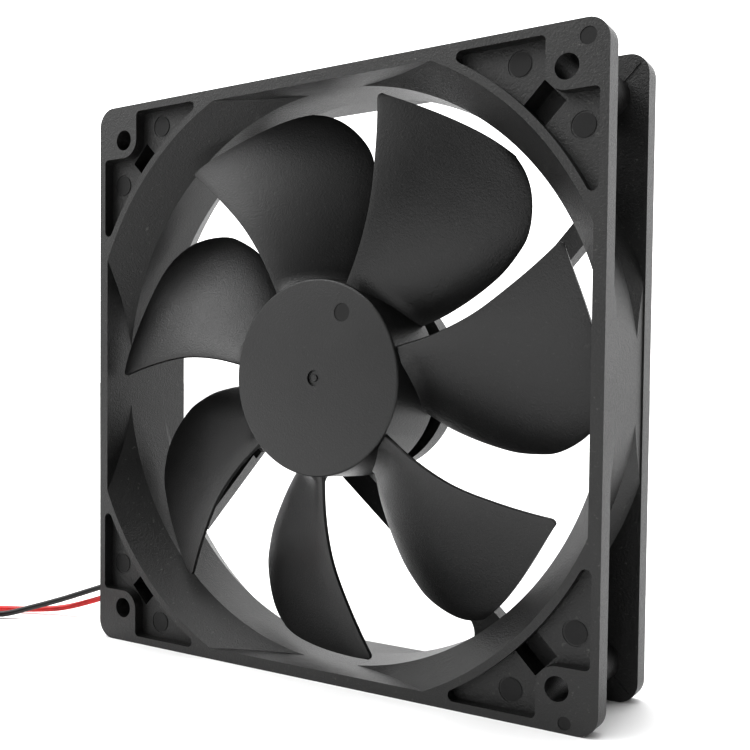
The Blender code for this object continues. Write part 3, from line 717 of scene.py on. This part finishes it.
def mould_marks():
    """Rings left by ejector pins in the pockets, and sunk discs on two screw posts."""
    marks = []
    near, far = EJECTOR_R - EJECTOR_RING, EJECTOR_R + EJECTOR_RING
    rear = THICK - POCKET_DEPTH - EJECTOR_RING_DEEP + 0.1
    for sx, sz in CORNERS:
        for x, z in EJECTORS:
            for front in (POCKET_DEPTH - 0.1, rear):
                back = front + EJECTOR_RING_DEEP
                ring = [(near, front), (far, front), (far, back), (near, back)]
                marks.append(turned(ring, 40, sx * x, sz * z))
    for x, z, radius in POST_MARKS:
        marks.append(disc(radius, -0.5, POST_MARK_DEEP, x, z, 40))
    return marks


def darken_pin_marks(made, spots):
    """Gives the faces inside each pin mark, (x, z, radius, depth), their smoother finish."""
    made.data.materials.append(PIN_MARKS)
    marks = [(place(x, depth, z), radius * MM + WELD / 2) for x, z, radius, depth in spots]
    for face in made.data.polygons:
        rim = [made.data.vertices[i].co for i in face.vertices]
        for centre, reach in marks:
            if all(abs(co.y - centre.y) < 0.05 * MM and (co - centre).length < reach for co in rim):
                face.material_index = 1


def gusset():
    """The rounded web where the lower right strut meets the ring."""
    direction, far = STRUTS[1][0], STRUTS[1][2]
    round_edge = arc(far + GUSSET_R, GUSSET_REACH, GUSSET_R, 180, 90, 8)
    outline = [(far - 0.4, GUSSET_REACH), *round_edge]
    outer = GUSSET_REACH + GUSSET_DEEP
    outline += [(far + GUSSET_R, outer), (far - 0.4, outer)]
    points = [along(direction, offset, reach) for offset, reach in outline]
    return plate(points, STRUT_FRONT + 0.15, STRUT_REAR - 0.15)


def flow_lines():
    """A fine raised line on the inner face of the rear flange, from each screw post to its corner."""
    inner = THICK - FLANGE
    across = (-FLOW_LINE_HALF, FLOW_LINE_HALF)
    ways = (45.0 + 90.0 * i for i in range(4))
    return [strip(way, *across, *FLOW_LINE, inner - 0.2, inner + 0.5) for way in ways]


def moulded_frame():
    housing = plate(rounded_square(HALF, CORNER_R), 0.0, FLANGE)
    rear = plate(rounded_square(HALF, CORNER_R), THICK - FLANGE, THICK)
    housing = carved(housing, "UNION", [rear, barrel(), *posts(), *flow_lines()])
    housing = carved(housing, "DIFFERENCE", [air_path(), *corner_cutters()])
    housing = motor_base(housing)
    housing = carved(housing, "DIFFERENCE", mould_marks())
    softened(housing, EDGE)
    piece(housing, "moulded_frame", "frame", FRAME_PBT, "black_plastic", "frame_housing")
    spots = [(*mark, POST_MARK_DEEP) for mark in POST_MARKS]
    for sx, sz in CORNERS:
        spots += [(sx * x, sz * z, EJECTOR_R, POCKET_DEPTH) for x, z in EJECTORS]
    darken_pin_marks(housing, spots)


# ---- impeller -------------------------------------------------------------------------------


def blend(points, at):
    """A smooth curve through a few (place, value) pairs, read at one place."""
    for i, ((x0, y0), (x1, y1)) in enumerate(zip(points, points[1:])):
        if at <= x1 or x1 == points[-1][0]:
            before = points[max(i - 1, 0)]
            after = points[min(i + 2, len(points) - 1)]
            slope0 = (y1 - before[1]) / (x1 - before[0])
            slope1 = (after[1] - y0) / (after[0] - x0)
            t = (at - x0) / (x1 - x0)
            span = x1 - x0
            return (
                y0 * (1 + 2 * t) * (1 - t) ** 2
                + slope0 * span * t * (1 - t) ** 2
                + y1 * t * t * (3 - 2 * t)
                + slope1 * span * t * t * (t - 1)
            )
    return points[-1][1]


def tip_radius(share):
    """The blade's tip dips below an arc, by TIP_DIP at a third of the way from the leading corner."""
    peak = 4 / 27
    return BLADE_TIP_R - TIP_DIP * share * (1 - share) ** 2 / peak


def corner_cut(radius, tip, corner):
    """How much a round corner at the tip takes off a blade's edge at this radius."""
    over = max(0.0, min(radius - (tip - corner), corner * 0.985))
    return corner - math.sqrt(corner**2 - over**2)


def blade_point(radius, share):
    """A point of the blade's middle surface: share 0 is the leading edge and 1 the trailing edge."""
    lead, trail = blend(LEADING, radius), blend(TRAILING, radius)
    end = trail + math.degrees(corner_cut(radius, BLADE_TIP_R, TIP_CORNER_R) / radius)
    start = lead - math.degrees(corner_cut(radius, tip_radius(0.0), LEAD_CORNER_R) / radius)
    angle = start + (end - start) * share
    full = (angle - lead) / (trail - lead)
    front, back = blend(FRONT_DEPTH, radius), blend(BACK_DEPTH, radius)
    depth = front + (back - front) * ((1 - CAMBER) * full + CAMBER * full * full)
    a = math.radians(BLADE_ANGLE + angle)
    return place(radius * math.cos(a), depth, radius * math.sin(a))


def blade_skin(shape, side):
    """One skin of a blade, half its thickness off the middle surface, with a fillet at the hub."""
    step = 0.002
    inner = HUB_R - ROOT_SINK
    wide, long = BLADE_GRID
    made = bmesh.ops.create_grid(shape, x_segments=wide, y_segments=long, size=0.5)
    for vert in made["verts"]:
        share, reach = vert.co.x + 0.5, vert.co.y + 0.5
        radius = inner + (tip_radius(share) - inner) * (1 - (1 - reach) ** 1.7)
        here = blade_point(radius, share)
        across = blade_point(radius, share + step) - blade_point(radius, share - step)
        outward = blade_point(radius + step, share) - blade_point(radius - step, share)
        root = max(0.0, 1.0 - (radius - HUB_R - ROOT_SINK) / ROOT_REACH)
        edge = max(0.0, 1.0 - min(share, 1.0 - share) / EDGE_TAPER)
        half = BLADE_THICK / 2 * (1.0 - THINNING * edge**2)
        half += ROOT_FILLET * root**2 * min(1.0, 6 * share, 6 * (1 - share))
        vert.co = here + across.cross(outward).normalized() * half * MM * side
    return made["verts"]


def blade():
    """One blade: two skins joined round their rims, with the rim rounded over."""
    shape = bmesh.new()
    blade_skin(shape, 1)
    blade_skin(shape, -1)
    rims = [edge for edge in shape.edges if edge.is_boundary]
    bmesh.ops.bridge_loops(shape, edges=rims)
    bmesh.ops.recalc_face_normals(shape, faces=shape.faces)
    sharp = [edge for edge in shape.edges if edge.calc_face_angle(0.0) > math.radians(50)]
    bmesh.ops.bevel(
        shape,
        geom=sharp,
        offset=0.26 * MM,
        segments=3,
        profile=0.5,
        affect="EDGES",
        material=-1,
        clamp_overlap=True,
    )
    return from_bmesh(shape, "blade")


def hub():
    """The hub's cup: a flat face with a soft edge, a skirt with some draft, and the shaft's boss."""
    edge = arc(HUB_R - 0.5, HUB_FRONT + 0.5, 0.5, -90, 0, 5)
    profile = [
        (0.0, HUB_FRONT),
        *edge,
        (HUB_BACK_R - 0.15, HUB_BACK - 0.2),
        (HUB_BACK_R - 0.35, HUB_BACK),
        (HUB_BACK_R - HUB_WALL, HUB_BACK),
        (HUB_R - HUB_WALL, HUB_FRONT + HUB_WALL),
        (HUB_BOSS_R, HUB_FRONT + HUB_WALL),
        (HUB_BOSS_R, HUB_BOSS_BACK),
        (3.4, HUB_BOSS_BACK),
        (3.4, HUB_FRONT + HUB_WALL),
        (0.0, HUB_FRONT + HUB_WALL),
    ]
    return turned(profile, 210)


def moulded_impeller():
    """The hub and its seven blades in one moulding, with the gate's dimple and an ejector mark."""
    core = turned(
        [
            (0.0, -2.0),
            (HUB_R - 0.9, -2.0),
            (HUB_R - 0.9, HUB_FRONT),
            (HUB_BACK_R - 0.9, HUB_BACK),
            (HUB_BACK_R - 0.9, HUB_BACK + 4.0),
            (0.0, HUB_BACK + 4.0),
        ],
        128,
    )
    blades = [turn_about_axis(blade(), -360.0 / BLADES * i) for i in range(BLADES)]
    swept = carved(blades[0], "UNION", blades[1:])
    swept = carved(swept, "DIFFERENCE", [core])
    rotor = carved(hub(), "UNION", [swept])
    mark = disc(HUB_MARK_R, -0.5, HUB_FRONT + 0.1, *HUB_MARK, 48)
    rotor = carved(rotor, "DIFFERENCE", [turned(DIMPLE, 48), mark])
    rotor.data.shade_smooth()
    rotor.data.set_sharp_from_angle(angle=math.radians(38))
    piece(rotor, "moulded_impeller", "rotor", IMPELLER_PBT, "black_plastic", "impeller")
    darken_pin_marks(rotor, [(*HUB_MARK, HUB_MARK_R, HUB_FRONT + 0.1)])


# ---- leads ----------------------------------------------------------------------------------


def smooth(points, step):
    """Points about a step apart on a smooth curve through the given ones (centripetal spline)."""
    knots = [Vector(p) for p in points]
    knots = [knots[0] * 2 - knots[1]] + knots + [knots[-1] * 2 - knots[-2]]
    fine = []
    for a, b, c, d in zip(knots, knots[1:], knots[2:], knots[3:]):
        t1 = (b - a).length ** 0.5
        t2 = t1 + (c - b).length ** 0.5
        t3 = t2 + (d - c).length ** 0.5
        parts = max(2, round((c - b).length / step))
        for i in range(parts):
            t = t1 + (t2 - t1) * i / parts
            a1 = a.lerp(b, t / t1)
            a2 = b.lerp(c, (t - t1) / (t2 - t1))
            a3 = c.lerp(d, (t - t2) / (t3 - t2))
            b1 = a1.lerp(a2, t / t2)
            b2 = a2.lerp(a3, (t - t1) / (t3 - t1))
            fine.append(b1.lerp(b2, (t - t1) / (t2 - t1)))
    return fine + [knots[-2]]


def wound(slots, start):
    """The turns of one lead in the coil, moving to its next (radius, height) slot once a turn."""
    points = []
    turning = 20.0
    for angle in range(start, COIL_END + 1, COIL_STEP):
        radius, height = slots[0]
        for i, (next_radius, next_height) in enumerate(slots[1:]):
            middle = 360 * (i + 1) + 65 - 30 * i
            share = min(1.0, max(0.0, (angle - middle + turning) / (2 * turning)))
            share = share * share * (3 - 2 * share)
            radius += (next_radius - slots[i][0]) * share
            height += (next_height - slots[i][1]) * share
        a = math.radians(angle)
        across = COIL_CENTRE + Vector((math.cos(a), math.sin(a))) * radius
        points.append(Vector((across.x, across.y, height)) * MM)
    return points


def tail(colour):
    """The last stretch of a lead, from the coil down into its terminal."""
    low, high = (Vector(corner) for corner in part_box(f"{colour}_lead_tail"))
    middle = (low + high) / 2
    return [
        Vector((low.x - 1.2 * MM, middle.y, middle.z + 1.25 * MM)),
        Vector((low.x + 1.0 * MM, middle.y, middle.z + 0.35 * MM)),
        Vector((high.x + 2.0 * MM, middle.y, middle.z)),
    ]


def lead(colour, route, slots, start, finish, pieces):
    """One lead from its solder pad to its terminal: the route, the coil's turns and the tail."""
    name = f"{colour}_wire"
    knots = [Vector(p) for p in route[:-1]] + wound(slots, start) + tail(colour)
    line = smooth(knots, 1.5 * MM)
    curve = bpy.data.curves.new(name, "CURVE")
    curve.dimensions = "3D"
    curve.bevel_depth = LEAD_R * MM
    curve.bevel_resolution = 4
    curve.use_fill_caps = True
    spline = curve.splines.new("POLY")
    spline.points.add(len(line) - 1)
    for point, co in zip(spline.points, line):
        point.co = (*co, 1.0)
    made = link(bpy.data.objects.new(name, curve))
    nodes = (f"{colour}_lead", f"{colour}_lead_tail", "lead_coil")
    piece(made, name, "frame", finish, f"{colour}_pvc", *nodes)


def cable_tie():
    """A nylon tie round the coil's turns: a rounded loop of strap and its small square head."""
    low, high = (Vector(corner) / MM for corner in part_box("coil_tie"))
    middle = (low + high) / 2
    half = (high - low) / 2
    wall = 0.5
    across = (low.y + THICK / 2, high.y + THICK / 2)

    def loop(inset, front, back):
        bend = 1.5 - inset
        x, z = half.x - inset - bend, half.z - inset - bend
        quarters = ((x, z, 0), (-x, z, 90), (-x, -z, 180), (x, -z, 270))
        points = []
        for cx, cz, turn in quarters:
            points += arc(middle.x + cx, middle.z + cz - HALF, bend, turn, turn + 90, 6)
        return plate(points, front, back)

    head = block(
        (middle.x - 1.6, middle.x + 1.6),
        (low.y - 0.3, high.y + 0.3),
        (high.z - wall + 0.1, high.z + 0.9),
    )
    tie = carved(loop(0.0, *across), "UNION", [head])
    tie = carved(tie, "DIFFERENCE", [loop(wall, across[0] - PAST, across[1] + PAST)])
    softened(tie, 0.12)
    return piece(tie, "cable_tie", "frame", BLACK_PVC, "black_pvc", "coil_tie")


def crimp_housing():
    """The two-way connector: two cavities with latch windows, a key slot and finger grooves."""
    low, high = (Vector(corner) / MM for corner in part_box("connector_housing"))
    gap = 0.3
    tools = []
    for colour in ("black", "red"):
        near, far = (Vector(corner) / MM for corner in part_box(f"{colour}_terminal"))
        inside = (near.y - gap, far.y + gap), (near.z - gap, far.z + gap)
        tools.append(block((low.x - PAST, high.x + PAST), *inside))
        window = (near.y - 0.1, far.y + 0.1), (far.z, high.z + PAST)
        tools.append(block((low.x + 5.0, low.x + 7.6), *window))
    for i in range(4):
        start = low.x + 1.4 + 0.8 * i
        for side in (low.y, high.y):
            groove = (side - 0.25, side + 0.25), (low.z - PAST, high.z + PAST)
            tools.append(block((start, start + 0.4), *groove))
    middle = (low.y + high.y) / 2
    key = (middle - 0.45, middle + 0.45), (high.z - 0.5, high.z + PAST)
    tools.append(block((high.x - 3.5, high.x + PAST), *key))
    whole = block(*zip(low, high))
    housing = carved(whole, "DIFFERENCE", tools)
    softened(housing, 0.1)
    return piece(
        housing, "crimp_housing", "frame", CONNECTOR_NYLON, "black_plastic", "connector_housing"
    )


def leads():
    ends = [crimp_housing(), cable_tie()]
    lead("black", BLACK_ROUTE, BLACK_SLOTS, BLACK_START, BLACK_PVC, ends)
    lead("red", RED_ROUTE, RED_SLOTS, RED_START, RED_PVC, ends)


# ---- finishes of the pieces kept from the model -----------------------------------------------

KEPT = {
    "bearing_tube": BRASS,
    "sleeve_bearing": BRONZE,
    "oil_seal_ring": RUBBER,
    "thrust_pad": NYLON,
    "bearing_cap": FRAME_PBT,
    "rear_label": FILM,
    "stator_core": SHEETS,
    "front_insulator": NYLON,
    "rear_insulator": NYLON,
    "circuit_board": MASK,
    "hall_sensor": EPOXY,
    "driver_chip": EPOXY,
    "capacitor": CERAMIC,
    "resistor": EPOXY,
    "diode": EPOXY,
    "black_terminal": TINNED,
    "red_terminal": TINNED,
    "rotor_yoke": YOKE_STEEL,
    "rotor_magnet": FERRITE,
    "shaft_bush": BRASS,
    "shaft": STEEL,
    "retaining_clip": NYLON,
    **{f"winding_{i + 1}": ENAMEL for i in range(4)},
    **{f"coil_pin_{i + 1}": TINNED for i in range(3)},
}


def finish_kept():
    for name, finish in KEPT.items():
        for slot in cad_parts[name].material_slots:
            slot.material = finish


# ---- floor, light and camera ------------------------------------------------------------------


def floor():
    made, tree, shader, at = start_material("pale_floor")
    paper = add(tree, "ShaderNodeTexNoise", {"Vector": at, "Scale": 40.0, "Detail": 2.0}).outputs["Fac"]
    tree.links.new(
        ramp(tree, paper, 0.3, 0.7, linear("f4f4f4"), linear("f8f8f8")), shader.inputs["Base Color"]
    )
    shader.inputs["Roughness"].default_value = 0.8
    shape = bmesh.new()
    bmesh.ops.create_grid(shape, x_segments=1, y_segments=1, size=6.0)
    ground = from_bmesh(shape, "floor")
    ground.data.materials.append(made)


def softbox(name, spot, target, width, height, watts):
    """A soft area light that faces a point."""
    data = bpy.data.lights.new(name, "AREA")
    data.shape = "RECTANGLE"
    data.size = width
    data.size_y = height
    data.energy = watts
    lamp = link(bpy.data.objects.new(name, data))
    lamp.location = spot
    lamp.rotation_euler = (Vector(target) - Vector(spot)).to_track_quat("-Z", "Y").to_euler()


def white_room():
    """A white room, brightest behind the fan, dimmer to the left and above, dark elsewhere.

    A wall is given by its direction, how closely a ray must point there to see it begin and see it in
    full, and its brightness. The camera itself sees plain white where the room is darker than that.
    """
    world = bpy.data.worlds.new("white_room")
    bpy.context.scene.world = world
    world.use_nodes = True
    tree = world.node_tree
    tree.nodes.clear()
    way = add(tree, "ShaderNodeTexCoord").outputs["Generated"]
    walls = (
        (Vector((-0.62, -0.47, 0.62)), 0.1, 1.05, LEFT_WALL),
        (Vector((0.0, 1.0, 0.0)), 0.05, 0.6, BACK_WALL),
    )
    sides = []
    for toward, start, full, brightness in walls:
        facing = add(tree, "ShaderNodeVectorMath", {0: way, 1: toward}, operation="DOT_PRODUCT")
        limits = {
            "Value": facing.outputs["Value"],
            "From Min": start,
            "From Max": full,
            "To Min": DIM_ROOM,
            "To Max": brightness,
        }
        sides.append(add(tree, "ShaderNodeMapRange", limits, interpolation_type="SMOOTHSTEP"))
    brightest = add(
        tree,
        "ShaderNodeMath",
        {i: side.outputs["Result"] for i, side in enumerate(sides)},
        operation="MAXIMUM",
    )
    seen = add(tree, "ShaderNodeLightPath").outputs["Is Camera Ray"]
    strength = add(
        tree, "ShaderNodeMath", {0: brightest.outputs["Value"], 1: seen}, operation="MAXIMUM"
    )
    background = add(
        tree,
        "ShaderNodeBackground",
        {"Color": (1.0, 1.0, 1.0, 1.0), "Strength": strength.outputs["Value"]},
    )
    add(tree, "ShaderNodeOutputWorld", {"Surface": background.outputs["Background"]})


def studio():
    white_room()
    middle = (0.0, 0.0, HALF * MM)
    softbox("top_softbox", (-0.1, 0.1, 0.9), middle, 0.8, 0.8, 9.0)
    softbox("left_softbox", (-0.6, -0.5, 0.75), middle, 0.45, 0.45, 3.0)
    bpy.context.scene.view_settings.view_transform = "Standard"
    bpy.context.scene.view_settings.gamma = 0.85


def camera():
    """The camera stands to the fan's right, looks slightly down, and is rolled by less than a degree."""
    azimuth, elevation, roll = (math.radians(a) for a in CAMERA_TURN)
    back = Vector(
        (
            math.sin(azimuth) * math.cos(elevation),
            -math.cos(azimuth) * math.cos(elevation),
            math.sin(elevation),
        )
    )
    right = (-back).cross(Vector((0.0, 0.0, 1.0))).normalized()
    up = right.cross(-back)
    turned_right = right * math.cos(roll) + up * math.sin(roll)
    turned_up = up * math.cos(roll) - right * math.sin(roll)
    data = bpy.data.cameras.new("camera")
    data.lens = CAMERA_LENS
    data.shift_x, data.shift_y = CAMERA_SHIFT
    data.clip_start = 0.01
    made = link(bpy.data.objects.new("camera", data))
    axes = Matrix((turned_right, turned_up, back)).transposed().to_4x4()
    made.matrix_world = Matrix.Translation(CAMERA_AT) @ axes
    bpy.context.scene.camera = made


camera()
leads()
moulded_frame()
moulded_impeller()
finish_kept()
floor()
studio()
